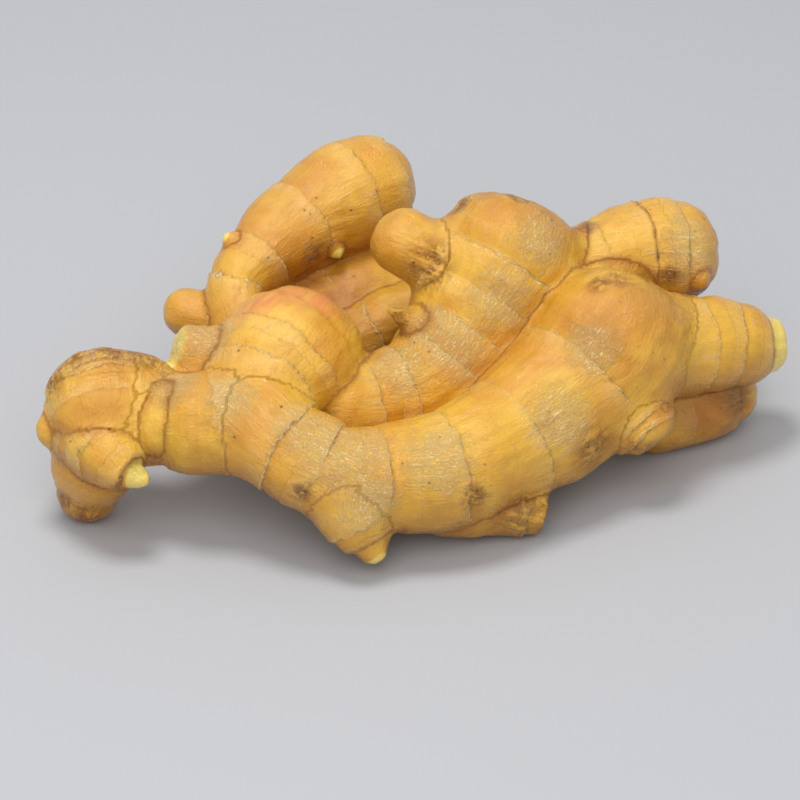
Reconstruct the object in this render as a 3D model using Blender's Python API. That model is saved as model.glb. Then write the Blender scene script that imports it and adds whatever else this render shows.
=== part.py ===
# Ginger root: one hand of fresh ginger, lying on a table as dug and washed.
# It grew in one piece, so it is one object. Each finger is a tube along a curve, the tubes are
# fused into one skin, and the rings of the leaf scars are then raised from that skin.

import bmesh
import bpy
import numpy as np
from mathutils import Matrix, Vector, noise

MM = 0.001

# The skin, in millimetres
SKIN_CELL = 1.0          # cell of the mesh that fuses the fingers
RUN_STEP = 1.0           # spacing of the sections along a finger
CREASE_REACH = 3.5       # how far from a crease between two fingers the skin is rounded
CREASE_PASSES = 6
SMOOTHING = 0.5          # how far each pass moves a vertex towards the middle of its neighbours
SKIN_TRIANGLES = 11000
WELD = 0.001             # vertices closer to the table than this lie on it

# The leaf scars that ring each finger, in millimetres
RING_STEP = 0.42         # half the height of the step at a ring
RING_FADE = 2.6          # how far from the ring the step dies away
RING_WANDERS = ((9.0, 1.0), (3.5, 0.4))  # length and height of the waves in which a ring strays
SWELLING = 0.5           # how far an internode stands out half-way between its rings
LUMP_HEIGHT = 1.3        # slow unevenness of the skin, and smaller dimples on it
LUMP_LENGTH = 24.0
DIMPLE_HEIGHT = 0.35
DIMPLE_LENGTH = 8.0

# The near end of a finger inside its parent: how deep each section lies and its size, in radii
ROOT_SECTIONS = ((0.6, 0.3), (0.4, 0.8))

# The far end: places of its sections from 0 at the start to 1 at the point, and the size of the point
TIP_SECTIONS = (0.18, 0.33, 0.46, 0.58, 0.69, 0.8, 0.9, 1.0)
POINT_SIZE = 0.04

# How far each kind of tip stands out, as a share of the radius there, and how square it is
TIPS = {
    "round": (0.9, 2.0),
    "blunt": (0.55, 2.6),
    "dome": (0.7, 2.2),
    "scar": (0.55, 2.4),
    "cut": (0.2, 5.0),
    "bud": (1.3, 1.5),
}

# Each finger runs through stations (x, y, z, radius) in millimetres, from where it leaves its parent.
# rings holds the places of its leaf scars, counted in stations, and past the last one in radii of it.
FINGERS = {
    "front_branch": {
        "tip": "dome",
        "rings": (0.78, 1.5, 2.66, 3.9, 5.0, 6.4),
        "stations": (
            (-42.5, 21.3, 32.6, 14),
            (-29.8, 13.5, 27.9, 13.5),
            (-17.3, 9.7, 23.1, 13.7),
            (-5.8, 12.6, 21, 15),
            (11.6, 17.5, 20.8, 17),
            (26.9, 28.7, 22.4, 17.8),
            (42.4, 42.2, 27.6, 20),
            (51, 50, 33.2, 22),
            (56, 54, 38.4, 22.4),
            (58.4, 56, 41.6, 20.6),
        ),
    },
    "right_finger": {
        "tip": "blunt",
        "rings": (2.3, 2.95, 4.25),
        "stations": (
            (55, 54.5, 37.2, 20),
            (65.5, 57.8, 34.4, 17),
            (75.1, 60.4, 32.6, 14.3),
            (88.5, 65.4, 29.9, 12.4),
            (96.2, 68.5, 27.7, 10.5),
            (100.4, 70.2, 27, 8.8),
        ),
    },
    "right_bud": {
        "tip": "blunt",
        "rings": (1.4, 2.3, 3.1),
        "stations": (
            (50, 46.5, 31, 12.8),
            (57, 40.8, 27, 11.2),
            (61.6, 37.8, 23.2, 9.9),
            (64.2, 36, 20.6, 9.2),
        ),
    },
    "right_knob": {
        "tip": "round",
        "rings": (),
        "stations": (
            (62, 38, 24, 6),
            (66, 35.6, 26.4, 4.2),
        ),
    },
    "low_finger": {
        "tip": "round",
        "rings": (1.55, 2.7),
        "stations": (
            (55.2, 57, 17.9, 12),
            (66.6, 58.9, 10.9, 11.3),
            (81.2, 65.9, 10.4, 11.2),
            (88.8, 71.4, 10.4, 10.7),
        ),
    },
    "front_bud": {
        "tip": "round",
        "rings": (1.3, 2.4),
        "stations": (
            (-16.5, 6.6, 19.1, 13.4),
            (-14.2, 2.2, 14, 10.6),
            (-11.9, -0.2, 9.7, 7.8),
            (-10.6, -1.2, 7.6, 5.6),
        ),
    },
    "cut_stub": {
        "tip": "cut",
        "rings": (2.3,),
        "stations": (
            (10, 17, 14.5, 13.4),
            (21, 17, 10.8, 10.8),
            (29.5, 17.2, 7.3, 8.5),
            (35, 17.4, 5.9, 6.9),
        ),
    },
    "shoulder": {
        "tip": "dome",
        "rings": (0.72, 1.65),
        "stations": (
            (-44.6, 25.9, 32.4, 14.6),
            (-40.1, 36.1, 34.2, 18.6),
            (-35, 45, 35.8, 20.5),
            (-30.8, 50.5, 37, 19.8),
            (-28.8, 53, 37.6, 18),
        ),
    },
    "shoulder_bud": {
        "tip": "blunt",
        "rings": (0.7,),
        "stations": (
            (-50, 43, 37.5, 10.4),
            (-56, 42.6, 39.6, 9.7),
            (-61, 42.2, 42, 7.6),
        ),
    },
    "middle_branch": {
        "tip": "scar",
        "rings": (0.6, 1.45, 2.5, 3.25, 4.12, 5.1),
        "stations": (
            (-21.6, 38.1, 26, 12),
            (-7.9, 46, 24.5, 13),
            (4, 52, 26.6, 14.4),
            (12, 59.5, 32.6, 16.4),
            (18, 67.5, 40, 18.8),
            (24.6, 74.6, 47.6, 21.2),
            (28.2, 78.6, 52.6, 22),
            (29.4, 80.2, 54.5, 20.4),
        ),
    },
    "side_scale": {
        "tip": "bud",
        "rings": (),
        "stations": (
            (4, 57, 41.5, 6),
            (-1, 57, 43.5, 4.2),
            (-5, 57, 45.5, 2),
        ),
    },
    "middle_bud": {
        "tip": "round",
        "rings": (0.9,),
        "stations": (
            (13.9, 70, 49, 10.8),
            (5.2, 72.5, 54, 10.4),
            (-2.2, 74.5, 58, 9.6),
        ),
    },
    "back_lobe": {
        "tip": "round",
        "rings": (0.9, 2.35, 3.9),
        "stations": (
            (43, 78, 46, 11),
            (52.4, 82, 46, 12.8),
            (61, 86.5, 45.8, 14.6),
            (69.5, 89.5, 45.2, 15.2),
            (74.2, 90.8, 44.8, 14.8),
        ),
    },
    "back_bud": {
        "tip": "round",
        "rings": (),
        "stations": (
            (78, 84, 44, 5),
            (81, 78.5, 43.2, 3.3),
        ),
    },
    "neck": {
        "tip": "round",
        "rings": (0.8, 2.0),
        "stations": (
            (-44.6, 25.9, 32.4, 14.6),
            (-54.6, 22.9, 31.5, 14),
            (-64.5, 26.3, 30.4, 12.1),
            (-74.6, 27.4, 30.4, 13.6),
            (-81.6, 27.4, 31.4, 14.6),
        ),
    },
    "head": {
        "tip": "round",
        "rings": (1.2, 2.1),
        "stations": (
            (-85.5, 37, 33.6, 12.5),
            (-84, 31.5, 34.2, 15.8),
            (-83, 27.5, 32.4, 15),
        ),
    },
    "head_side": {
        "tip": "round",
        "rings": (1.2, 2.1),
        "stations": (
            (-76, 38, 33.6, 11),
            (-75.8, 33.5, 34, 13),
            (-75.5, 29, 32.4, 12.8),
        ),
    },
    "head_scale": {
        "tip": "blunt",
        "rings": (),
        "stations": (
            (-90, 33, 38, 6),
            (-94, 33, 40.2, 3.6),
        ),
    },
    "foot": {
        "tip": "round",
        "rings": (0.5, 1.75),
        "stations": (
            (-84.5, 26.3, 26, 13.2),
            (-86.5, 24.5, 16.6, 11.6),
            (-88.6, 24.6, 7.4, 9),
        ),
    },
    "head_bud": {
        "tip": "round",
        "rings": (),
        "stations": (
            (-87.5, 26.3, 28.5, 6.6),
            (-93.6, 25.3, 28, 5.4),
            (-97.2, 24.8, 27.8, 5),
        ),
    },
    "fore_bud": {
        "tip": "bud",
        "rings": (0.1, 1.15, 3.2),
        "stations": (
            (-84, 22, 27.4, 12.4),
            (-81.5, 16, 27, 10),
            (-78, 11.5, 25.7, 7.6),
            (-75.4, 9, 24.4, 5.2),
            (-73.6, 8, 24.2, 3.3),
        ),
    },
    "neck_fold": {
        "tip": "round",
        "rings": (),
        "stations": (
            (-66.5, 24, 37.5, 6),
            (-68, 19.6, 34.5, 6.4),
            (-68, 18, 31.5, 5.6),
        ),
    },
    "edge_bud": {
        "tip": "bud",
        "rings": (),
        "stations": (
            (-46, 91.5, 45, 4.6),
            (-50.8, 91.5, 48.3, 2.8),
        ),
    },
    "hidden_link": {
        "tip": "round",
        "rings": (1.0,),
        "stations": (
            (-39.7, 48, 27.1, 12.9),
            (-44.4, 66, 24, 13.1),
            (-43.1, 84.1, 20.1, 13.3),
        ),
    },
    "upper_finger": {
        "tip": "round",
        "rings": (1.1, 2.1, 3.05, 4.3, 5.5),
        "stations": (
            (-47.6, 74.1, 30.1, 9.1),
            (-49.3, 82.2, 36.8, 8.6),
            (-44, 91.3, 40.4, 10.4),
            (-32.2, 105.6, 45, 13.7),
            (-18.4, 116.2, 48, 16),
            (-11.9, 120, 49, 14.9),
        ),
    },
    "upper_bud": {
        "tip": "bud",
        "rings": (),
        "stations": (
            (-26, 103, 44, 5),
            (-22.5, 98.5, 42, 3.7),
            (-21.3, 97, 41.2, 2.7),
        ),
    },
    "left_lobe": {
        "tip": "round",
        "rings": (0.9,),
        "stations": (
            (-50.8, 78.1, 27.1, 8.1),
            (-58, 80.1, 29.1, 8.1),
            (-63.6, 81.1, 30.2, 7.3),
        ),
    },
    "under_finger": {
        "tip": "round",
        "rings": (0.9, 2.2, 3.1),
        "stations": (
            (-43.1, 84.1, 18.6, 13.3),
            (-24.9, 99.5, 17.4, 17.8),
            (-8.4, 109, 18, 18.3),
            (6.3, 116.5, 16.6, 16.8),
            (14.8, 120, 15.2, 15),
        ),
    },
    "web": {
        "tip": "round",
        "rings": (),
        "stations": (
            (-10, 30, 14, 9),
            (6, 37, 13.5, 9.5),
            (20, 48, 13.5, 9.5),
            (36, 62, 19, 10.5),
        ),
    },
    "inner_bud": {
        "tip": "round",
        "rings": (0.8,),
        "stations": (
            (-18.5, 84.1, 18.1, 8.7),
            (-8.2, 87.1, 22.7, 8.7),
            (4.1, 93.2, 24.3, 8.8),
        ),
    },
}


def smooth_run(stations):
    """Stations joined by one smooth curve: points, radii and the station count along it."""
    ends = np.array(stations, float)
    first, last = 2 * ends[0] - ends[1], 2 * ends[-1] - ends[-2]
    knots = np.vstack([first, ends, last])
    run, places = [], []
    for i in range(1, len(knots) - 2):
        before, start, end, after = knots[i - 1:i + 3]
        steps = max(2, int(np.linalg.norm((end - start)[:3]) / RUN_STEP))
        for step in range(steps):
            t = step / steps
            run.append(
                0.5 * (2 * start + (end - before) * t
                       + (2 * before - 5 * start + 4 * end - after) * t ** 2
                       + (3 * start - before - 3 * end + after) * t ** 3)
            )
            places.append(i - 1 + t)
    run.append(ends[-1])
    places.append(len(ends) - 1)
    return np.array(run), np.array(places)


def tip_sections(run, tip):
    """Sections that close the far end of a finger, from its last one outwards."""
    reach, square = TIPS[tip]
    end, radius = run[-1, :3], run[-1, 3]
    outwards = end - run[-3, :3]
    outwards /= np.linalg.norm(outwards)
    sections = []
    for along in TIP_SECTIONS:
        size = max((1 - along ** square) ** (1 / square), POINT_SIZE)
        sections.append((*(end + outwards * reach * radius * along), radius * size))
    return np.array(sections)


def root_sections(run):
    """Two shrinking sections inside the parent, so that the near end is closed and rounded."""
    start, radius = run[0, :3], run[0, 3]
    inwards = start - run[2, :3]
    inwards /= np.linalg.norm(inwards)
    return np.array([(*(start + inwards * radius * deep), radius * size) for deep, size in ROOT_SECTIONS])


def add_finger(curve, sections):
    """One finger as a spline whose points carry the radius of the tube there."""
    spline = curve.splines.new("POLY")
    spline.points.add(len(sections) - 1)
    for point, (x, y, z, radius) in zip(spline.points, sections):
        point.co = (x * MM, y * MM, z * MM, 1)
        point.radius = radius * MM
    spline.use_smooth = True


def tubes_of_fingers(runs):
    """Every finger as a round tube, all in one curve object."""
    curve = bpy.data.curves.new("fingers", "CURVE")
    curve.dimensions = "3D"
    curve.bevel_depth = 1.0
    curve.bevel_resolution = 6
    curve.use_fill_caps = True
    for name, (run, _) in runs.items():
        tip = tip_sections(run, FINGERS[name]["tip"])
        add_finger(curve, np.vstack([root_sections(run), run, tip]))
    return bpy.data.objects.new("fingers", curve)


def evaluated_mesh(obj):
    """The mesh of an object with its modifiers, as a new mesh."""
    bpy.context.view_layer.update()
    graph = bpy.context.evaluated_depsgraph_get()
    return bpy.data.meshes.new_from_object(obj.evaluated_get(graph), depsgraph=graph)


def fused_skin(runs):
    """One closed mesh round all the tubes."""
    tubes = tubes_of_fingers(runs)
    bpy.context.scene.collection.objects.link(tubes)
    mesh = evaluated_mesh(tubes)
    bpy.data.objects.remove(tubes)
    root = bpy.data.objects.new("ginger_root", mesh)
    bpy.context.scene.collection.objects.link(root)
    fuse = root.modifiers.new("fuse", "REMESH")
    fuse.mode = "VOXEL"
    fuse.voxel_size = SKIN_CELL * MM
    skin = evaluated_mesh(root)
    root.modifiers.clear()
    root.data = skin
    return root


def vertex_points(mesh):
    """The vertices of a mesh in millimetres."""
    points = np.empty(len(mesh.vertices) * 3)
    mesh.vertices.foreach_get("co", points)
    return points.reshape(-1, 3) / MM


def nearest_fingers(points, runs):
    """For each point the finger whose skin it lies on, its place along it, and the gap to the next finger.

    The place is in millimetres from the finger's start.
    """
    names = list(runs)
    gaps = np.empty((len(names), len(points)))
    along = np.empty((len(names), len(points)))
    for row, name in enumerate(names):
        run = runs[name][0]
        centres, radii = run[:, :3], run[:, 3]
        lengths = run_lengths(run)
        ways = np.gradient(centres, axis=0)
        ways /= np.linalg.norm(ways, axis=1)[:, None]
        squared = (
            (points ** 2).sum(1)[:, None] - 2 * points @ centres.T + (centres ** 2).sum(1)
        )
        nearest = squared.argmin(1)
        offset = points - centres[nearest]
        ahead = (offset * ways[nearest]).sum(1)
        gaps[row] = np.sqrt(np.maximum(squared[np.arange(len(points)), nearest], 0)) - radii[nearest]
        along[row] = lengths[nearest] + ahead
    order = np.argsort(gaps, axis=0)
    here = np.arange(len(points))
    owner = order[0]
    return owner, along[owner, here], gaps[order[1], here] - gaps[owner, here]


def run_lengths(run):
    """Length of a finger from its start to each of its sections."""
    steps = np.linalg.norm(np.diff(run[:, :3], axis=0), axis=1)
    return np.concatenate([[0], np.cumsum(steps)])


def ring_places(name, runs):
    """The leaf scars of a finger, in millimetres from its start."""
    run, places = runs[name]
    rings = np.array(FINGERS[name]["rings"])
    past_the_end = np.maximum(rings - places[-1], 0) * run[-1, 3]
    return np.interp(rings, places, run_lengths(run)) + past_the_end


def swelling(along, rings):
    """How far the skin swells between two leaf scars, from 0 at a scar to 1 half-way."""
    if len(rings) < 2:
        return np.zeros(len(along))
    before = np.clip(np.searchsorted(rings, along) - 1, 0, len(rings) - 2)
    way = (along - rings[before]) / (rings[before + 1] - rings[before])
    way = np.clip(way, 0, 1)
    return 4 * way * (1 - way)


def noise_at(points, wavelength):
    """Smooth noise from -1 to 1 at each point, the same on every run."""
    return np.array([noise.noise(Vector(p / wavelength)) for p in points])


def step_at_ring(distance):
    """Height of the skin near a leaf scar: it stands up behind the scar and drops in front of it."""
    return -np.sign(distance) * RING_STEP * np.exp(-np.abs(distance) / RING_FADE)


def relief(points, runs):
    """How far the skin is raised at each point, in millimetres."""
    owner, along, margin = nearest_fingers(points, runs)
    for length, stray in RING_WANDERS:
        along = along + stray * noise_at(points, length)
    height = LUMP_HEIGHT * noise_at(points, LUMP_LENGTH) + DIMPLE_HEIGHT * noise_at(points, DIMPLE_LENGTH)
    away_from_crease = np.clip(margin / CREASE_REACH, 0, 1)
    for row, name in enumerate(runs):
        mine = owner == row
        rings = ring_places(name, runs)
        height[mine] += SWELLING * (swelling(along[mine], rings) - 0.5) * away_from_crease[mine]
        for place in rings:
            height[mine] += (step_at_ring(along - place) * away_from_crease)[mine]
    return height


def smooth_vertices(skin, vertices):
    """One pass of smoothing over some vertices."""
    bmesh.ops.smooth_vert(
        skin, verts=vertices, factor=SMOOTHING, use_axis_x=True, use_axis_y=True, use_axis_z=True
    )


def round_creases(mesh, runs):
    """Rounds the skin where two fingers meet."""
    margin = nearest_fingers(vertex_points(mesh), runs)[2]
    skin = bmesh.new()
    skin.from_mesh(mesh)
    skin.verts.ensure_lookup_table()
    crease = [skin.verts[i] for i in np.flatnonzero(margin < CREASE_REACH)]
    for _ in range(CREASE_PASSES):
        smooth_vertices(skin, crease)
    smooth_vertices(skin, skin.verts)
    skin.to_mesh(mesh)
    skin.free()


def raise_relief(mesh, runs):
    """Moves every vertex out along its normal by the relief there."""
    points = vertex_points(mesh)
    normals = np.empty(len(points) * 3)
    mesh.vertices.foreach_get("normal", normals)
    raised = points + normals.reshape(-1, 3) * relief(points, runs)[:, None]
    mesh.vertices.foreach_set("co", raised.ravel() * MM)
    mesh.update()


def thin_out(root):
    """Leaves the triangles that the shape needs."""
    root.data.calc_loop_triangles()
    fewer = root.modifiers.new("fewer", "DECIMATE")
    fewer.ratio = SKIN_TRIANGLES / len(root.data.loop_triangles)
    fewer.use_collapse_triangulate = True
    mesh = evaluated_mesh(root)
    root.modifiers.clear()
    root.data = mesh


def stand_on_table(mesh):
    """Cuts the lowest points flat where the hand rests, and puts the origin under the middle."""
    skin = bmesh.new()
    skin.from_mesh(mesh)
    everything = list(skin.verts) + list(skin.edges) + list(skin.faces)
    cut = bmesh.ops.bisect_plane(
        skin, geom=everything, dist=WELD * MM, plane_co=(0, 0, 0), plane_no=(0, 0, 1), clear_inner=True
    )
    rims = [e for e in cut["geom_cut"] if isinstance(e, bmesh.types.BMEdge)]
    bmesh.ops.holes_fill(skin, edges=rims, sides=0)
    bmesh.ops.triangulate(skin, faces=skin.faces)
    skin.to_mesh(mesh)
    skin.free()
    points = vertex_points(mesh)
    middle = (points.min(0) + points.max(0)) / 2 * MM
    mesh.transform(Matrix.Translation((-middle[0], -middle[1], 0)))


def skin_material():
    """Moist tan skin."""
    material = bpy.data.materials.new("ginger_skin")
    material.use_nodes = True
    shader = material.node_tree.nodes["Principled BSDF"]
    shader.inputs["Base Color"].default_value = (0.72, 0.42, 0.12, 1)
    shader.inputs["Roughness"].default_value = 0.45
    shader.inputs["Metallic"].default_value = 0.0
    return material


def build():
    for obj in list(bpy.data.objects):
        bpy.data.objects.remove(obj)
    runs = {name: smooth_run(finger["stations"]) for name, finger in FINGERS.items()}
    root = fused_skin(runs)
    round_creases(root.data, runs)
    raise_relief(root.data, runs)
    thin_out(root)
    stand_on_table(root.data)
    root.data.materials.clear()
    root.data.materials.append(skin_material())
    root.data.shade_smooth()
    return root


build()
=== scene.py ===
import math

import bmesh
import bpy
import numpy as np
from mathutils import Matrix, Vector, noise


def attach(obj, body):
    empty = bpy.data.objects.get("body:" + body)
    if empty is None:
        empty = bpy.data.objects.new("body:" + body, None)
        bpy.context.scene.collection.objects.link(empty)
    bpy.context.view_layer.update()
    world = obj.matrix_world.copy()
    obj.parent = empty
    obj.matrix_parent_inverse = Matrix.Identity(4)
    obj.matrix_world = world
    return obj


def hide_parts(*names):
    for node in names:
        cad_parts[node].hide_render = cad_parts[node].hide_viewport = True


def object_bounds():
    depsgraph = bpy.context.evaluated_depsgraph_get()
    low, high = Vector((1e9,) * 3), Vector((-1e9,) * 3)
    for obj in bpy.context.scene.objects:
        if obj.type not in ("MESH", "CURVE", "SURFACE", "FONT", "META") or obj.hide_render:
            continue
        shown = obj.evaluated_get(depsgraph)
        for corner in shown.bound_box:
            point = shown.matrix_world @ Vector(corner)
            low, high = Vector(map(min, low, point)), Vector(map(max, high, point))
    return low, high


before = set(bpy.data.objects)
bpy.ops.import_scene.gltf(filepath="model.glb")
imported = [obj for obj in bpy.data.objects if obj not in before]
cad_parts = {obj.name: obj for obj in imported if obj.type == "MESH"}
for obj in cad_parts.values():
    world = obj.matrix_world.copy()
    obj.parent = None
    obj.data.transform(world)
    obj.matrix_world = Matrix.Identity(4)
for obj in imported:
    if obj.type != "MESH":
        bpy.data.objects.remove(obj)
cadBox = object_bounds()
mm = 0.001
print("frame loaded, CAD box in mm:", [round(v / mm, 1) for corner in cadBox for v in corner])

# Each finger runs through stations (x, y, z, radius) in mm; rings are its leaf scars, counted in stations
fingers = {
    "frontBranch": {
        "tip": "dome",
        "rings": (0.78, 1.5, 2.66, 3.9, 5.0, 6.4),
        "stations": (
            (-42.5, 21.3, 32.6, 14), (-29.8, 13.5, 27.9, 13.5), (-17.3, 9.7, 23.1, 13.7),
            (-5.8, 12.6, 21, 15), (11.6, 17.5, 20.8, 17), (26.9, 28.7, 22.4, 17.8),
            (42.4, 42.2, 27.6, 20), (51, 50, 33.2, 22), (56, 54, 38.4, 22.4), (58.4, 56, 41.6, 20.6),
        ),
    },
    "rightFinger": {
        "tip": "blunt",
        "rings": (2.3, 2.95, 4.25),
        "stations": (
            (55, 54.5, 37.2, 20), (65.5, 57.8, 34.4, 17), (75.1, 60.4, 32.6, 14.3),
            (88.5, 65.4, 29.9, 12.4), (96.2, 68.5, 27.7, 10.5), (100.4, 70.2, 27, 8.8),
        ),
    },
    "rightBud": {
        "tip": "blunt",
        "rings": (1.4, 2.3, 3.1),
        "stations": (
            (50, 46.5, 31, 12.8), (57, 40.8, 27, 11.2), (61.6, 37.8, 23.2, 9.9), (64.2, 36, 20.6, 9.2),
        ),
    },
    "rightKnob": {
        "tip": "round",
        "rings": (),
        "stations": (
            (62, 38, 24, 6), (66, 35.6, 26.4, 4.2),
        ),
    },
    "lowFinger": {
        "tip": "round",
        "rings": (1.55, 2.7),
        "stations": (
            (55.2, 57, 17.9, 12), (66.6, 58.9, 10.9, 11.3), (81.2, 65.9, 10.4, 11.2),
            (88.8, 71.4, 10.4, 10.7),
        ),
    },
    "frontBud": {
        "tip": "round",
        "rings": (1.3, 2.4),
        "stations": (
            (-16.5, 6.6, 19.1, 13.4), (-14.2, 2.2, 14, 10.6), (-11.9, -0.2, 9.7, 7.8),
            (-10.6, -1.2, 7.6, 5.6),
        ),
    },
    "cutStub": {
        "tip": "cut",
        "rings": (2.3,),
        "stations": (
            (10, 17, 14.5, 13.4), (21, 17, 10.8, 10.8), (29.5, 17.2, 7.3, 8.5), (35, 17.4, 5.9, 6.9),
        ),
    },
    "shoulder": {
        "tip": "dome",
        "rings": (0.72, 1.65),
        "stations": (
            (-44.6, 25.9, 32.4, 14.6), (-40.1, 36.1, 34.2, 18.6), (-35, 45, 35.8, 20.5),
            (-30.8, 50.5, 37, 19.8), (-28.8, 53, 37.6, 18),
        ),
    },
    "shoulderBud": {
        "tip": "blunt",
        "rings": (0.7,),
        "stations": (
            (-50, 43, 37.5, 10.4), (-56, 42.6, 39.6, 9.7), (-61, 42.2, 42, 7.6),
        ),
    },
    "middleBranch": {
        "tip": "scar",
        "rings": (0.6, 1.45, 2.5, 3.25, 4.12, 5.1),
        "stations": (
            (-21.6, 38.1, 26, 12), (-7.9, 46, 24.5, 13), (4, 52, 26.6, 14.4), (12, 59.5, 32.6, 16.4),
            (18, 67.5, 40, 18.8), (24.6, 74.6, 47.6, 21.2), (28.2, 78.6, 52.6, 22),
            (29.4, 80.2, 54.5, 20.4),
        ),
    },
    "sideScale": {
        "tip": "bud",
        "rings": (),
        "stations": (
            (4, 57, 41.5, 6), (-1, 57, 43.5, 4.2), (-5, 57, 45.5, 2),
        ),
    },
    "middleBud": {
        "tip": "round",
        "rings": (0.9,),
        "stations": (
            (13.9, 70, 49, 10.8), (5.2, 72.5, 54, 10.4), (-2.2, 74.5, 58, 9.6),
        ),
    },
    "backLobe": {
        "tip": "round",
        "rings": (0.9, 2.35, 3.9),
        "stations": (
            (43, 78, 46, 11), (52.4, 82, 46, 12.8), (61, 86.5, 45.8, 14.6), (69.5, 89.5, 45.2, 15.2),
            (74.2, 90.8, 44.8, 14.8),
        ),
    },
    "backBud": {
        "tip": "round",
        "rings": (),
        "stations": (
            (78, 84, 44, 5), (81, 78.5, 43.2, 3.3),
        ),
    },
    "neck": {
        "tip": "round",
        "rings": (0.8, 2.0),
        "stations": (
            (-44.6, 25.9, 32.4, 14.6), (-54.6, 22.9, 31.5, 14), (-64.5, 26.3, 30.4, 12.1),
            (-74.6, 27.4, 30.4, 13.6), (-81.6, 27.4, 31.4, 14.6),
        ),
    },
    "head": {
        "tip": "round",
        "rings": (1.2, 2.1),
        "stations": (
            (-85.5, 37, 33.6, 12.5), (-84, 31.5, 34.2, 15.8), (-83, 27.5, 32.4, 15),
        ),
    },
    "headSide": {
        "tip": "round",
        "rings": (1.2, 2.1),
        "stations": (
            (-76, 38, 33.6, 11), (-75.8, 33.5, 34, 13), (-75.5, 29, 32.4, 12.8),
        ),
    },
    "headScale": {
        "tip": "blunt",
        "rings": (),
        "stations": (
            (-90, 33, 38, 6), (-94, 33, 40.2, 3.6),
        ),
    },
    "foot": {
        "tip": "round",
        "rings": (0.5, 1.75),
        "stations": (
            (-84.5, 26.3, 26, 13.2), (-86.5, 24.5, 16.6, 11.6), (-88.6, 24.6, 7.4, 9),
        ),
    },
    "headBud": {
        "tip": "round",
        "rings": (),
        "stations": (
            (-87.5, 26.3, 28.5, 6.6), (-93.6, 25.3, 28, 5.4), (-97.2, 24.8, 27.8, 5),
        ),
    },
    "foreBud": {
        "tip": "bud",
        "rings": (0.1, 1.15, 3.2),
        "stations": (
            (-84, 22, 27.4, 12.4), (-81.5, 16, 27, 10), (-78, 11.5, 25.7, 7.6), (-75.4, 9, 24.4, 5.2),
            (-73.6, 8, 24.2, 3.3),
        ),
    },
    "neckFold": {
        "tip": "round",
        "rings": (),
        "stations": (
            (-66.5, 24, 37.5, 6), (-68, 19.6, 34.5, 6.4), (-68, 18, 31.5, 5.6),
        ),
    },
    "edgeBud": {
        "tip": "bud",
        "rings": (),
        "stations": (
            (-46, 91.5, 45, 4.6), (-50.8, 91.5, 48.3, 2.8),
        ),
    },
    "hiddenLink": {
        "tip": "round",
        "rings": (1.0,),
        "stations": (
            (-39.7, 48, 27.1, 12.9), (-44.4, 66, 24, 13.1), (-43.1, 84.1, 20.1, 13.3),
        ),
    },
    "upperFinger": {
        "tip": "round",
        "rings": (1.1, 2.1, 3.05, 4.3, 5.5),
        "stations": (
            (-47.6, 74.1, 30.1, 9.1), (-49.3, 82.2, 36.8, 8.6), (-44, 91.3, 40.4, 10.4),
            (-32.2, 105.6, 45, 13.7), (-18.4, 116.2, 48, 16), (-11.9, 120, 49, 14.9),
        ),
    },
    "upperBud": {
        "tip": "bud",
        "rings": (),
        "stations": (
            (-26, 103, 44, 5), (-22.5, 98.5, 42, 3.7), (-21.3, 97, 41.2, 2.7),
        ),
    },
    "leftLobe": {
        "tip": "round",
        "rings": (0.9,),
        "stations": (
            (-50.8, 78.1, 27.1, 8.1), (-58, 80.1, 29.1, 8.1), (-63.6, 81.1, 30.2, 7.3),
        ),
    },
    "underFinger": {
        "tip": "round",
        "rings": (0.9, 2.2, 3.1),
        "stations": (
            (-43.1, 84.1, 18.6, 13.3), (-24.9, 99.5, 17.4, 17.8), (-8.4, 109, 18, 18.3),
            (6.3, 116.5, 16.6, 16.8), (14.8, 120, 15.2, 15),
        ),
    },
    "web": {
        "tip": "round",
        "rings": (),
        "stations": (
            (-10, 30, 14, 9), (6, 37, 13.5, 9.5), (20, 48, 13.5, 9.5), (36, 62, 19, 10.5),
        ),
    },
    "innerBud": {
        "tip": "round",
        "rings": (0.8,),
        "stations": (
            (-18.5, 84.1, 18.1, 8.7), (-8.2, 87.1, 22.7, 8.7), (4.1, 93.2, 24.3, 8.8),
        ),
    },
}

# Pale shoot ends: how far past a finger's last station they begin, in radii there
paleTips = {
    "rightFinger": -0.42, "frontBud": 0.3, "foreBud": -0.35, "headBud": 0.75,
    "upperBud": 0.1, "edgeBud": 0.4, "shoulderBud": 0.2,
}

# Leaf scars that have dried to a brown line
brownRings = {
    "rightFinger": (4.25,), "frontBud": (2.4,), "foreBud": (3.2,), "backLobe": (2.35,), "lowFinger": (2.7,),
}

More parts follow.
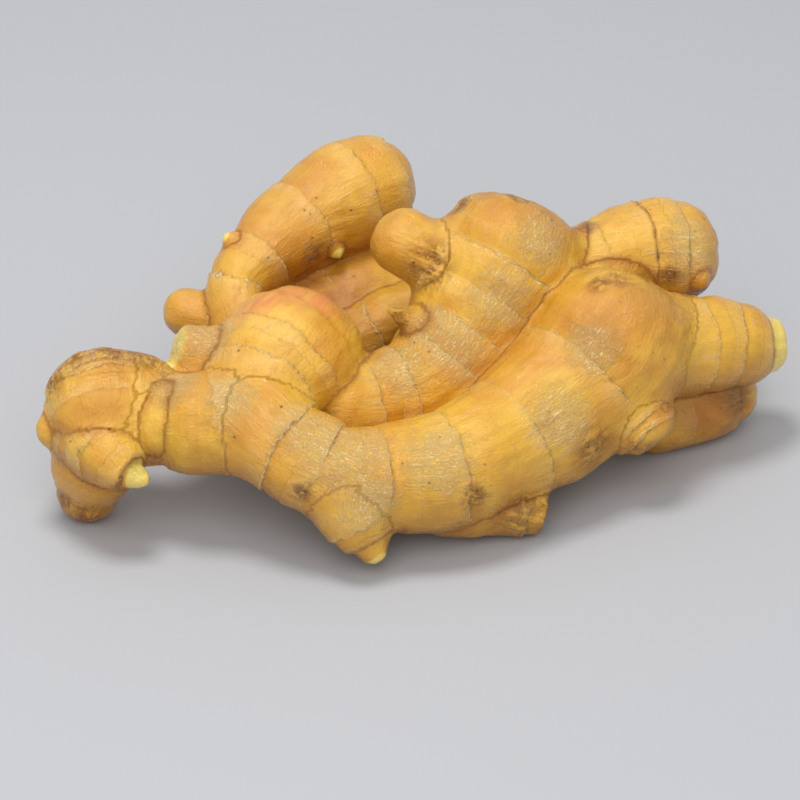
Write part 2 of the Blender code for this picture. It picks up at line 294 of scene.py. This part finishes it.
# Where the skin differs from the rest, and where shade and sheen are painted on it: centres (x, y, z) and
# reach in mm
marks = {
    # brown and corky: scars, torn ends and the rims of the caps
    "bark": (
        (17, 2, 22, 4), (-29, -1, 26, 3.5), (28, 13, 9, 8), (36, 17, 6, 9), (50, 22, 23, 7), (5, 63, 57, 7),
        (-4.5, 55, 45, 5), (14, 81, 66, 5), (30, 77, 71, 5), (48, 82, 58, 4), (51, 50, 59, 3.5),
        (57, 52, 60, 4.5), (65, 57, 56, 3.5), (76, 66, 46, 3.5), (72, 75, 47, 3.5), (81, 82, 37, 5),
        (-96, 28, 43, 6), (-90, 33, 48, 7), (-81, 35, 50, 8), (-72, 36, 47, 8), (-95, 19, 9, 5),
        (-88, 16, 5, 6), (92, 61, 13, 5), (-27, 92, 43, 4), (62, 31, 20, 4), (-64, 40, 44, 4),
    ),
    # rubbed dry and whitish, and painted sheen where highlights fall on the moist skin
    "peelAndSheen": (
        (-18, 3, 35, 13), (-11, -4, 25, 9), (7, 5, 32, 10), (-27, 8, 39, 10), (-48, 16, 44, 8),
        (-3, 43, 37, 9), (12, 46, 41, 9), (5, 51, 44, 7), (24, 54, 51, 9), (40, 21, 34, 10),
        (36, 63, 65, 9), (78, 79, 53, 10), (-56, 40, 47, 8), (49, 36, 48, 8), (92, 61, 18, 6),
        (-63, 24, 42, 8), (-74, 9, 26, 4),
    ),
    # deeper tan skin in places, and painted shade in the crevices between fingers
    "tanAndShade": (
        (-34, 103, 58, 13), (-46, 99, 52, 10), (51, 37, 52, 14), (40, 42, 49, 12), (26, 78, 76, 20),
        (-84, 34, 48, 14), (-30, 88, 36, 18), (-88, 18, 12, 14), (12, 2, 19, 9), (80, 66, 8, 18),
        (24, 12, 13, 10),
    ),
    "butter": (
        (27, 11, 31, 12), (5, 1, 27, 9), (83, 52, 41, 14), (70, 94, 58, 12), (63, 77, 57, 9),
        (0, 90, 28, 10), (-14, -2, 18, 9), (-90, 16, 14, 8),
    ),
    # painted shade: deep brown gold where the other fingers shade the skin
    "paintedShade": ((-26, 88, 34, 14), (-36, 82, 28, 10), (84, 58, 12, 14), (66, 50, 18, 12)),
    "blush": ((-41, 49, 55, 8), (-33, 51, 56, 9), (-25, 50, 55, 7)),
}

# How far each kind of tip stands out, as a share of the radius there, and how square it is
tipShapes = {
    "round": (0.9, 2.0),
    "blunt": (0.55, 2.6),
    "dome": (0.7, 2.2),
    "scar": (0.55, 2.4),
    "cut": (0.2, 5.0),
    "bud": (1.3, 1.5),
}

# How torn and brown a tip gets: growth for each radius past the end, start and limit
tornTips = {"cut": (6.0, 0.4, 1.0), "dome": (0.5, 0.0, 0.2), "scar": (0.5, 0.0, 0.2)}

# Fingers that flow into each other without a crease
flowing = (
    ("frontBranch", "rightFinger"), ("frontBranch", "rightBud"), ("frontBranch", "frontBud"),
    ("neck", "head"), ("neck", "headSide"), ("head", "headSide"), ("head", "foot"), ("neck", "foot"),
    ("neck", "shoulder"), ("frontBranch", "neck"), ("middleBranch", "middleBud"),
    ("shoulder", "frontBranch"), ("headSide", "foot"),
)

skin = {
    "cell": 0.98,           # mm, cell of the mesh that fuses the fingers
    "runStep": 1.0,         # mm between the sections of a finger
    "sides": 24,
    "tipPlaces": (0.18, 0.33, 0.46, 0.58, 0.69, 0.8, 0.9, 1.0),
    "pointSize": 0.04,      # last section of a tip, as a share of the radius
    "rootPlaces": ((0.6, 0.3), (0.4, 0.8)),     # how far back and how wide, in radii
    "creaseReach": 3.5,     # mm from a crease between fingers that is rounded
    "creasePasses": 7,
    "flowReach": 7.0,       # the same where two fingers flow into each other
    "flowPasses": 26,
    "smoothing": 0.5,
    "ringStep": 0.5,        # mm, half the drop at a leaf scar
    "ringFade": 2.0,
    "ringFaint": 16.0,      # mm, how soon a leaf scar fades and comes back round a finger
    "ringStrength": (0.8, 1.4),                 # of a leaf scar: the usual and how far it changes
    "ringLimits": (0.15, 1.25),
    "noRing": 99.0,         # mm, stands for a finger without a leaf scar
    "swelling": 0.5,
    "strays": ((1.0, 9.0), (0.45, 3.5)),        # height and length in mm of the waves in a leaf scar
    "relief": ((1.3, 24.0), (0.42, 8.0), (0.22, 3.2)),
    "furrows": ((0.3, 5.0), (0.16, 2.4)),       # these run along the finger
    "underFrom": 0.15,      # how far down the skin has to face to count as its underside
    "paleGrowth": 2.5,      # how soon a bud tip turns pale, for each radius past its place
    "markReach": 1.3,       # where a mark has faded out, in its own reach
    "lean": 0.09,           # how slowly the fibres change along a finger
    "apart": 31.0,          # mm, keeps the fibres of one finger from going on in the next
}


# The stations joined by one smooth curve, with the station count along it
def smoothRun(stations):
    ends = np.array(stations, float)
    knots = np.vstack([2 * ends[0] - ends[1], ends, 2 * ends[-1] - ends[-2]])
    run, places = [], []
    for i in range(1, len(knots) - 2):
        before, start, end, after = knots[i - 1:i + 3]
        steps = max(2, int(np.linalg.norm((end - start)[:3]) / skin["runStep"]))
        for step in range(steps):
            t = step / steps
            run.append(
                0.5 * (2 * start + (end - before) * t
                       + (2 * before - 5 * start + 4 * end - after) * t ** 2
                       + (3 * start - before - 3 * end + after) * t ** 3)
            )
            places.append(i - 1 + t)
    return np.array(run + [ends[-1]]), np.array(places + [len(ends) - 1])


def tipSections(run, tip):
    reach, square = tipShapes[tip]
    end, radius = run[-1, :3], run[-1, 3]
    outwards = (end - run[-3, :3]) / np.linalg.norm(end - run[-3, :3])
    sections = []
    for along in skin["tipPlaces"]:
        size = (1 - along ** square) ** (1 / square)
        centre = end + outwards * reach * radius * along
        sections.append((*centre, radius * max(size, skin["pointSize"])))
    return sections


def rootSections(run):
    start, radius = run[0, :3], run[0, 3]
    inwards = (start - run[2, :3]) / np.linalg.norm(start - run[2, :3])
    return [(*(start + inwards * radius * back), radius * wide) for back, wide in skin["rootPlaces"]]


# A circle extruded from section to section and closed at both ends
def growTube(shape, sections):
    sections = np.array(sections)
    ways = [Vector(way).normalized() for way in np.gradient(sections[:, :3], axis=0)]
    centres = [Vector(section[:3]) * mm for section in sections]
    facing = Matrix.Translation(centres[0]) @ ways[0].to_track_quat("Z", "Y").to_matrix().to_4x4()
    made = bmesh.ops.create_circle(
        shape, cap_ends=True, segments=skin["sides"], radius=sections[0, 3] * mm, matrix=facing
    )
    loop = list({edge for vert in made["verts"] for edge in vert.link_edges})
    for i in range(1, len(sections)):
        grown = bmesh.ops.extrude_edge_only(shape, edges=loop)["geom"]
        rim = [item for item in grown if isinstance(item, bmesh.types.BMVert)]
        fresh = set(rim)
        loop = [item for item in grown if isinstance(item, bmesh.types.BMEdge) and set(item.verts) <= fresh]
        turn = ways[i - 1].rotation_difference(ways[i]).to_matrix().to_4x4()
        size = Matrix.Scale(sections[i, 3] / sections[i - 1, 3], 4)
        move = Matrix.Translation(centres[i]) @ turn @ size @ Matrix.Translation(-centres[i - 1])
        bmesh.ops.transform(shape, matrix=move, verts=rim)
    bmesh.ops.holes_fill(shape, edges=loop, sides=0)


def fuseFingers(runs):
    shape = bmesh.new()
    for name, (run, _) in runs.items():
        growTube(shape, [*rootSections(run), *run, *tipSections(run, fingers[name]["tip"])])
    bmesh.ops.recalc_face_normals(shape, faces=shape.faces)
    tubes = bpy.data.meshes.new("tubes")
    shape.to_mesh(tubes)
    shape.free()
    root = bpy.data.objects.new("gingerSkin", tubes)
    bpy.context.scene.collection.objects.link(root)
    fuse = root.modifiers.new("fuse", "REMESH")
    fuse.mode = "VOXEL"
    fuse.voxel_size = skin["cell"] * mm
    bpy.context.view_layer.update()
    graph = bpy.context.evaluated_depsgraph_get()
    root.data = bpy.data.meshes.new_from_object(root.evaluated_get(graph), depsgraph=graph)
    root.modifiers.clear()
    return root


# The vertices of a mesh in millimetres
def vertexPoints(mesh):
    points = np.empty(len(mesh.vertices) * 3)
    mesh.vertices.foreach_get("co", points)
    return points.reshape(-1, 3) / mm


def runLengths(run):
    steps = np.linalg.norm(np.diff(run[:, :3], axis=0), axis=1)
    return np.concatenate([[0], np.cumsum(steps)])


# For each point: its finger, the mm along it, the offset from its axis, and how clear the next finger is
def onFingers(points, runs):
    gaps, along, offsets = [], [], []
    here = np.arange(len(points))
    for run, _ in runs.values():
        centres = run[:, :3]
        ways = np.gradient(centres, axis=0)
        ways /= np.linalg.norm(ways, axis=1)[:, None]
        squared = (points ** 2).sum(1)[:, None] - 2 * points @ centres.T + (centres ** 2).sum(1)
        nearest = squared.argmin(1)
        offset = points - centres[nearest]
        ahead = (offset * ways[nearest]).sum(1)
        gaps.append(np.sqrt(np.maximum(squared[here, nearest], 0)) - run[nearest, 3])
        along.append(runLengths(run)[nearest] + ahead)
        offsets.append(offset - ways[nearest] * ahead[:, None])
    order = np.argsort(gaps, axis=0)
    owner = order[0]
    gaps, along, offsets = map(np.array, (gaps, along, offsets))
    names = list(runs)
    flows = np.zeros((len(names), len(names)), bool)
    for pair in flowing:
        one, other = (names.index(name) for name in pair)
        flows[one, other] = flows[other, one] = True
    return {
        "owner": owner,
        "along": along[owner, here],
        "offset": offsets[owner, here],
        "margin": gaps[order[1], here] - gaps[owner, here],
        "flows": flows[owner, order[1]],
    }


def noiseAt(points, length):
    return np.array([noise.noise(Vector(point / length)) for point in points])


def waves(points, heights):
    return sum(height * noiseAt(points, length) for height, length in heights)


# Rounds the creases between fingers, then takes the steps of the cells out of the rest
def smoothSkin(mesh, runs):
    place = onFingers(vertexPoints(mesh), runs)
    shape = bmesh.new()
    shape.from_mesh(mesh)
    shape.verts.ensure_lookup_table()
    crease = [shape.verts[i] for i in np.flatnonzero(place["margin"] < skin["creaseReach"])]
    flow = [shape.verts[i] for i in np.flatnonzero((place["margin"] < skin["flowReach"]) & place["flows"])]
    for verts in [crease] * skin["creasePasses"] + [flow] * skin["flowPasses"] + [shape.verts]:
        bmesh.ops.smooth_vert(
            shape, verts=verts, factor=skin["smoothing"], use_axis_x=True, use_axis_y=True, use_axis_z=True
        )
    shape.to_mesh(mesh)
    shape.free()


# The leaf scars of a finger, in mm from its start
def ringPlaces(name, run, places):
    rings = np.array(fingers[name]["rings"])
    pastTheEnd = np.maximum(rings - places[-1], 0) * run[-1, 3]
    return np.interp(rings, places, runLengths(run)) + pastTheEnd


# 0 at a leaf scar to 1 half-way to the next
def swellingAt(along, rings):
    if len(rings) < 2:
        return np.zeros(len(along))
    before = np.clip(np.searchsorted(rings, along) - 1, 0, len(rings) - 2)
    way = np.clip((along - rings[before]) / (rings[before + 1] - rings[before]), 0, 1)
    return 4 * way * (1 - way)


# How far past its nearest leaf scar each point is, in mm, and whether that scar is a brown one
def ringGaps(runs, owner, along):
    gap = np.full(len(along), skin["noRing"])
    brown = np.zeros(len(along))
    for row, (name, (run, places)) in enumerate(runs.items()):
        mine = np.flatnonzero(owner == row)
        for count, ring in zip(fingers[name]["rings"], ringPlaces(name, run, places)):
            new = along[mine] - ring
            closer = np.abs(new) < np.abs(gap[mine])
            gap[mine[closer]] = new[closer]
            brown[mine[closer]] = count in brownRings.get(name, ())
    return gap, brown


# Raises the leaf scars, lumps and furrows, and keeps what the material reads
def carveSkin(mesh, runs):
    points = vertexPoints(mesh)
    place = onFingers(points, runs)
    owner = place["owner"]
    along = place["along"] + waves(points, skin["strays"])
    fibres = place["offset"] + place["along"][:, None] * skin["lean"] + owner[:, None] * skin["apart"]
    gap, brown = ringGaps(runs, owner, along)
    clear = np.clip(place["margin"] / skin["creaseReach"], 0, 1)
    usual, change = skin["ringStrength"]
    faint = usual + change * noiseAt(points + skin["apart"], skin["ringFaint"])
    faint = np.clip(faint, *skin["ringLimits"])
    ringDrop = np.sign(gap) * skin["ringStep"] * np.exp(-np.abs(gap) / skin["ringFade"])
    height = waves(points, skin["relief"]) + waves(fibres, skin["furrows"]) * clear
    height -= ringDrop * clear * faint
    ends = np.zeros(len(points))
    torn = np.zeros(len(points))
    for row, (name, (run, places)) in enumerate(runs.items()):
        mine = np.flatnonzero(owner == row)
        swollen = swellingAt(along[mine], ringPlaces(name, run, places))
        height[mine] += skin["swelling"] * (swollen - 0.5) * clear[mine]
        past = (place["along"][mine] - runLengths(run)[-1]) / run[-1, 3]
        tip = fingers[name]["tip"]
        if name in paleTips:
            ends[mine] = np.clip((past - paleTips[name]) * skin["paleGrowth"], 0, 1)
        if tip in tornTips:
            growth, start, limit = tornTips[tip]
            torn[mine] = np.clip(past * growth + start, 0, limit)

    normals = np.empty(len(points) * 3)
    mesh.vertices.foreach_get("normal", normals)
    normals = normals.reshape(-1, 3)
    raised = points + normals * height[:, None]
    raised[:, 2] = np.maximum(raised[:, 2], 0)
    mesh.vertices.foreach_set("co", raised.ravel() * mm)
    mesh.update()

    values = {
        "ringGap": gap,
        "brownRing": brown,
        "faint": faint,
        "clear": clear,
        "torn": torn,
        "tip": ends,
        # painted shade: how deep a point lies in a crease between fingers
        "crease": (1 - clear) * ~place["flows"],
        # painted shade: how far the skin faces down, read for the darker underside
        "under": np.clip(skin["underFrom"] - normals[:, 2], 0, 1),
    }
    for kind, spots in marks.items():
        values[kind] = np.zeros(len(points))
        for x, y, z, size in spots:
            reach = np.linalg.norm(points - (x, y, z), axis=1) / size
            values[kind] = np.maximum(values[kind], np.clip(skin["markReach"] - reach, 0, 1))
    for name, amounts in values.items():
        layer = mesh.attributes.new(name, "FLOAT", "POINT")
        layer.data.foreach_set("value", amounts.astype(np.float32))
    layer = mesh.attributes.new("fibre", "FLOAT_VECTOR", "POINT")
    layer.data.foreach_set("vector", fibres.astype(np.float32).ravel())


runs = {name: smoothRun(finger["stations"]) for name, finger in fingers.items()}
root = fuseFingers(runs)
print("fingers fused:", len(root.data.polygons), "faces")
smoothSkin(root.data, runs)
carveSkin(root.data, runs)
print("skin carved")

finish = {
    "gold": (0.66, 0.310, 0.024),       # moist skin
    "butter": (0.76, 0.435, 0.040),     # yellower between the scars
    "honey": (0.56, 0.225, 0.010),      # deep tan
    # painted shade, for the underside and where other fingers shade the skin
    "paintedShade": (0.38, 0.125, 0.003),       # the underside
    "cream": (0.80, 0.475, 0.115),      # paler just before a leaf scar
    # also the painted sheen and glints of the moist skin
    "paper": (0.98, 0.75, 0.37),        # dry, rubbed skin
    "line": (0.42, 0.16, 0.022),        # the shadow of a leaf scar
    "bark": (0.30, 0.105, 0.013),       # brown scars and torn ends
    # painted shade in the creases between fingers
    "crease": (0.40, 0.12, 0.007),
    "pit": (0.09, 0.025, 0.004),
    "shoot": (0.86, 0.65, 0.15),        # pale bud tips
    "blush": (0.72, 0.22, 0.06),
    # this also sets how strong the painted sheen is
    "sheenAndDryness": 0.7,                     # how far dry skin turns to paper
    "roughness": (0.2, 0.42),
    "corkRoughness": 0.2,               # added on brown scars
    "coat": (0.7, 0.12),                # weight and roughness of the moist film
    "shine": 0.22,                      # of the skin under the moist film
    "subsurface": (0.2, 0.004),         # weight and depth in metres
    "glow": (1.0, 0.42, 0.1),
    "bump": (0.8, 0.001),               # strength and depth in metres
}

# Scale per mm, detail, roughness and distortion of each noise; the last two follow the fibres
noises = {
    "broad": (0.045, 2, 0.6, 0.0),
    "medium": (0.14, 4, 0.6, 0.0),
    "blotch": (0.4, 5, 0.68, 0.5),
    "fine": (1.2, 4, 0.65, 0.0),
    "grain": (2.6, 3, 0.7, 0.8),
    "streak": (0.5, 5, 0.66, 0.0),
    "thin": (1.7, 3, 0.6, 0.0),
}

# Scale per mm, inner and outer edge, and darkness of the brown pits
pitSizes = {"spots": (0.19, 0.05, 0.11, 0.75), "pits": (0.7, 0.16, 0.3, 0.9)}

# How far each layer raises the skin
heights = {
    "streak": 0.5, "thin": 0.25, "fine": 0.3, "grain": 0.08,
    "rubbedAndSheen": 0.5, "edge": 0.5, "cork": 1.4, "dark": -0.2,
}


# A shader node with its settings; sockets take a value or a link from another node
def addNode(tree, kind, settings=None, **sockets):
    node = tree.nodes.new("ShaderNode" + kind)
    for key, value in (settings or {}).items():
        setattr(node, key, value)
    for key, value in sockets.items():
        connect(tree, node.inputs[key], value)
    return node


def connect(tree, socket, value):
    if isinstance(value, bpy.types.NodeSocket):
        tree.links.new(value, socket)
    else:
        socket.default_value = value


def readValue(tree, name, output="Fac"):
    return addNode(tree, "Attribute", {"attribute_name": name}).outputs[output]


def noiseOn(tree, where, name):
    node = addNode(tree, "TexNoise", Vector=where)
    for key, number in zip(("Scale", "Detail", "Roughness", "Distortion"), noises[name]):
        node.inputs[key].default_value = number
    return node.outputs["Fac"]


# Brown pits strewn over the skin
def pitsOn(tree, where, name):
    scale, inner, outer, darkness = pitSizes[name]
    cells = addNode(tree, "TexVoronoi", Vector=where, Scale=scale).outputs["Distance"]
    return ramp(tree, cells, inner, outer, darkness, 0)


# Turns low..high into lowTo..highTo with soft ends
def ramp(tree, value, low, high, lowTo=0.0, highTo=1.0):
    node = addNode(tree, "MapRange", {"interpolation_type": "SMOOTHSTEP"}, Value=value)
    for key, number in (("From Min", low), ("From Max", high), ("To Min", lowTo), ("To Max", highTo)):
        node.inputs[key].default_value = number
    return node.outputs["Result"]


def maths(tree, operation, first, *others):
    for other in others:
        node = addNode(tree, "Math", {"operation": operation})
        connect(tree, node.inputs[0], first)
        connect(tree, node.inputs[1], other)
        first = node.outputs[0]
    return first


def times(tree, *values):
    return maths(tree, "MULTIPLY", *values)


def plus(tree, *values):
    return maths(tree, "ADD", *values)


def most(tree, *values):
    return maths(tree, "MAXIMUM", *values)


def paint(tree, amount, under, over):
    node = addNode(tree, "Mix", {"data_type": "RGBA"})
    connect(tree, node.inputs[0], amount)
    connect(tree, node.inputs[6], (*under, 1) if isinstance(under, tuple) else under)
    connect(tree, node.inputs[7], (*finish[over], 1))
    return node.outputs[2]


def skinMaterial():
    material = bpy.data.materials.new("gingerSkin")
    material.use_nodes = True
    tree = material.node_tree
    shader = tree.nodes["Principled BSDF"]
    inMetres = addNode(tree, "TexCoord").outputs["Object"]
    inMm = addNode(tree, "Mapping", Vector=inMetres, Scale=(1 / mm,) * 3).outputs[0]
    fibre = readValue(tree, "fibre", "Vector")
    gap = readValue(tree, "ringGap")
    clear = readValue(tree, "clear")

    broad = noiseOn(tree, inMm, "broad")
    medium = noiseOn(tree, inMm, "medium")
    blotch = noiseOn(tree, inMm, "blotch")
    fine = noiseOn(tree, inMm, "fine")
    grain = noiseOn(tree, inMm, "grain")
    streak = noiseOn(tree, fibre, "streak")
    thin = noiseOn(tree, fibre, "thin")

    # golden skin, yellower and deeper in places
    colour = paint(tree, ramp(tree, broad, 0.38, 0.64), finish["gold"], "butter")
    butter = times(tree, readValue(tree, "butter"), ramp(tree, medium, 0.3, 0.6, 0.4, 1))
    colour = paint(tree, butter, colour, "butter")
    colour = paint(tree, ramp(tree, medium, 0.47, 0.74, 0, 0.5), colour, "honey")
    colour = paint(tree, ramp(tree, streak, 0.42, 0.72, 0, 0.3), colour, "honey")
    # deeper tan skin, and painted shade in the crevices between fingers
    tanAndShade = times(tree, readValue(tree, "tanAndShade"), ramp(tree, medium, 0.3, 0.6, 0.3, 0.75))
    colour = paint(tree, tanAndShade, colour, "honey")

    # paler before each leaf scar
    before = times(tree, ramp(tree, gap, -9.0, -0.8), ramp(tree, gap, -0.3, 0.2, 1, 0))
    pale = ramp(tree, plus(tree, medium, times(tree, streak, 0.5)), 0.6, 0.95, 0.15, 0.75)
    pale = times(tree, pale, before)
    colour = paint(tree, pale, colour, "cream")

    # whitish where the skin is rubbed dry, in grains rather than as a sheet; the grains and lint are also
    # painted sheen and glints
    rubbedAndSheen = plus(tree, readValue(tree, "peelAndSheen"), times(tree, pale, 0.3), times(tree, blotch, 1.6), streak)
    grains = ramp(tree, plus(tree, grain, times(tree, thin, 0.9)), 0.84, 1.12, 0.22, 0.95)
    rubbedAndSheen = times(tree, ramp(tree, rubbedAndSheen, 1.35, 2.3), grains)
    lintAndGlints = times(tree, ramp(tree, grain, 0.62, 0.72), ramp(tree, blotch, 0.44, 0.6, 0.05, 0.5))
    dryAndSheen = most(tree, times(tree, rubbedAndSheen, finish["sheenAndDryness"]), lintAndGlints)
    colour = paint(tree, dryAndSheen, colour, "paper")

    # painted shade: darker underneath and where other fingers shade the skin
    paintedShade = most(tree, readValue(tree, "paintedShade"), times(tree, readValue(tree, "under"), 0.9))
    paintedShade = times(tree, paintedShade, ramp(tree, medium, 0.3, 0.6, 0.55, 0.85))
    colour = paint(tree, paintedShade, colour, "paintedShade")

    # each leaf scar has a pale torn edge, partly a painted highlight on its step, and a painted brown
    # shadow beyond it; on dried scars the brown band is their own colour
    jitter = plus(tree, times(tree, blotch, 2.2), times(tree, fine, 1.0), -1.6)
    ragged = plus(tree, gap, jitter)
    strength = times(tree, readValue(tree, "faint"), clear)
    edge = times(tree, ramp(tree, ragged, -0.7, -0.2), ramp(tree, ragged, -0.1, 0.1, 1, 0), strength)
    colour = paint(tree, times(tree, edge, ramp(tree, streak, 0.35, 0.6, 0.2, 0.8)), colour, "paper")
    bark = ramp(tree, plus(tree, blotch, streak), 0.84, 1.14, 0.05, 0.95)
    bark = times(tree, bark, readValue(tree, "bark"))
    line = times(tree, ramp(tree, ragged, -0.15, 0.1), ramp(tree, ragged, 0.1, 0.75, 1, 0))
    line = times(tree, line, ramp(tree, blotch, 0.4, 0.62, 0.08, 0.6), strength)
    band = times(tree, ramp(tree, ragged, -1.3, -0.2), ramp(tree, ragged, 0.1, 0.5, 0.9, 0))
    band = times(tree, band, readValue(tree, "brownRing"), ramp(tree, streak, 0.3, 0.55, 0.45, 1))
    line = most(tree, line, band)
    colour = paint(tree, line, colour, "line")

    # painted shade, deeper in the creases; brown on the scars
    shade = ramp(tree, readValue(tree, "crease"), 0.4, 1.0, 0, 0.6)
    shade = times(tree, shade, ramp(tree, medium, 0.3, 0.6, 0.4, 1))
    colour = paint(tree, shade, colour, "crease")
    torn = times(tree, readValue(tree, "torn"), ramp(tree, streak, 0.35, 0.6, 0.3, 1.0))
    cork = maths(tree, "MINIMUM", most(tree, torn, bark), 0.85)
    colour = paint(tree, cork, colour, "bark")
    blush = times(tree, readValue(tree, "blush"), ramp(tree, streak, 0.3, 0.6, 0.3, 0.9))
    colour = paint(tree, blush, colour, "blush")
    tip = ramp(tree, plus(tree, readValue(tree, "tip"), times(tree, blotch, 0.5)), 0.45, 0.95)
    colour = paint(tree, times(tree, tip, ramp(tree, line, 0.2, 0.6, 0.95, 0)), colour, "shoot")

    # small brown pits, thick where the skin is corky
    spots = times(tree, pitsOn(tree, inMm, "spots"), ramp(tree, blotch, 0.46, 0.56))
    pits = times(tree, pitsOn(tree, inMm, "pits"), ramp(tree, bark, 0.35, 0.75))
    dark = most(tree, spots, pits)
    colour = paint(tree, dark, colour, "pit")
    tree.links.new(colour, shader.inputs["Base Color"])

    smooth, dull = finish["roughness"]
    gloss = ramp(tree, blotch, 0.35, 0.65, smooth, dull)
    gloss = plus(tree, gloss, times(tree, cork, finish["corkRoughness"]))
    tree.links.new(gloss, shader.inputs["Roughness"])
    shader.inputs["Specular IOR Level"].default_value = finish["shine"]
    shader.inputs["Coat Weight"].default_value = finish["coat"][0]
    shader.inputs["Coat Roughness"].default_value = finish["coat"][1]
    shader.inputs["Subsurface Weight"].default_value = finish["subsurface"][0]
    shader.inputs["Subsurface Scale"].default_value = finish["subsurface"][1]
    shader.inputs["Subsurface Radius"].default_value = finish["glow"]

    layers = {
        "streak": streak, "thin": thin, "fine": fine, "grain": grain,
        "rubbedAndSheen": rubbedAndSheen, "edge": edge, "cork": times(tree, cork, fine), "dark": most(tree, line, dark),
    }
    height = plus(tree, *[times(tree, layer, heights[name]) for name, layer in layers.items()])
    bump = addNode(tree, "Bump", Height=height, Strength=finish["bump"][0], Distance=finish["bump"][1])
    tree.links.new(bump.outputs[0], shader.inputs["Normal"])
    tree.links.new(bump.outputs[0], shader.inputs["Coat Normal"])
    return material


root.data.materials.clear()
root.data.materials.append(skinMaterial())
root.data.shade_smooth()

# The stations have their own corner, so the skin is moved over the middle of the CAD box
points = vertexPoints(root.data)
middle = (points.min(0) + points.max(0)) / 2 * mm
cadMiddle = (cadBox[0] + cadBox[1]) / 2
root.data.transform(Matrix.Translation((cadMiddle.x - middle[0], cadMiddle.y - middle[1], 0)))
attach(root, "root")
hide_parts("ginger_root")
print("skin finished:", len(root.data.polygons), "faces")

studio = {
    "floor": (0.45, 0.454, 0.47),
    "floorRoughness": 0.7,
    "floorSize": 6.0,
    "keyPower": 5.4,
    "keySize": 0.32,
    "keyPlace": (-0.14, 0.02, 1.0),
    "fillPower": 6.5,
    "fillSize": 1.2,
    "fillPlace": (-0.1, -0.8, 0.9),
    "aim": (0, 0, 0.03),
    "sky": 0.55,
    "skyColour": (0.97, 0.98, 1.0),
}


def makeFloor():
    shape = bmesh.new()
    bmesh.ops.create_grid(shape, x_segments=1, y_segments=1, size=studio["floorSize"] / 2)
    mesh = bpy.data.meshes.new("floor")
    shape.to_mesh(mesh)
    shape.free()
    floor = bpy.data.objects.new("floor", mesh)
    bpy.context.scene.collection.objects.link(floor)
    material = bpy.data.materials.new("paleFloor")
    material.use_nodes = True
    shader = material.node_tree.nodes["Principled BSDF"]
    shader.inputs["Base Color"].default_value = (*studio["floor"], 1)
    shader.inputs["Roughness"].default_value = studio["floorRoughness"]
    mesh.materials.append(material)


def makeLight(name):
    light = bpy.data.lights.new(name, "AREA")
    light.shape = "DISK"
    light.size = studio[name + "Size"]
    light.energy = studio[name + "Power"]
    lamp = bpy.data.objects.new(name, light)
    lamp.location = studio[name + "Place"]
    lamp.rotation_mode = "QUATERNION"
    lamp.rotation_quaternion = (Vector(studio["aim"]) - lamp.location).to_track_quat("-Z", "Y")
    bpy.context.scene.collection.objects.link(lamp)


def makeSky():
    world = bpy.data.worlds.new("sky")
    world.use_nodes = True
    background = world.node_tree.nodes["Background"]
    background.inputs["Color"].default_value = (*studio["skyColour"], 1)
    background.inputs["Strength"].default_value = studio["sky"]
    bpy.context.scene.world = world


view = {
    "elevation": 33.0,              # degrees above the table
    "distance": 1.0,
    "width": 0.2222,                # metres across the picture at the aim
    "aim": (-0.00503, -0.01019, 0.0192),
    "sensor": 36,
}


def makeCamera():
    slope = math.radians(view["elevation"])
    back = Vector((0, -math.cos(slope), math.sin(slope)))
    camera = bpy.data.objects.new("camera", bpy.data.cameras.new("camera"))
    camera.location = Vector(view["aim"]) + back * view["distance"]
    camera.rotation_mode = "QUATERNION"
    camera.rotation_quaternion = (-back).to_track_quat("-Z", "Y")
    camera.data.sensor_width = view["sensor"]
    camera.data.lens = view["sensor"] * view["distance"] / view["width"]
    bpy.context.scene.collection.objects.link(camera)
    bpy.context.scene.camera = camera


makeFloor()
makeLight("key")
makeLight("fill")
makeSky()
makeCamera()
bpy.context.scene.view_settings.view_transform = "Standard"

print("studio ready")
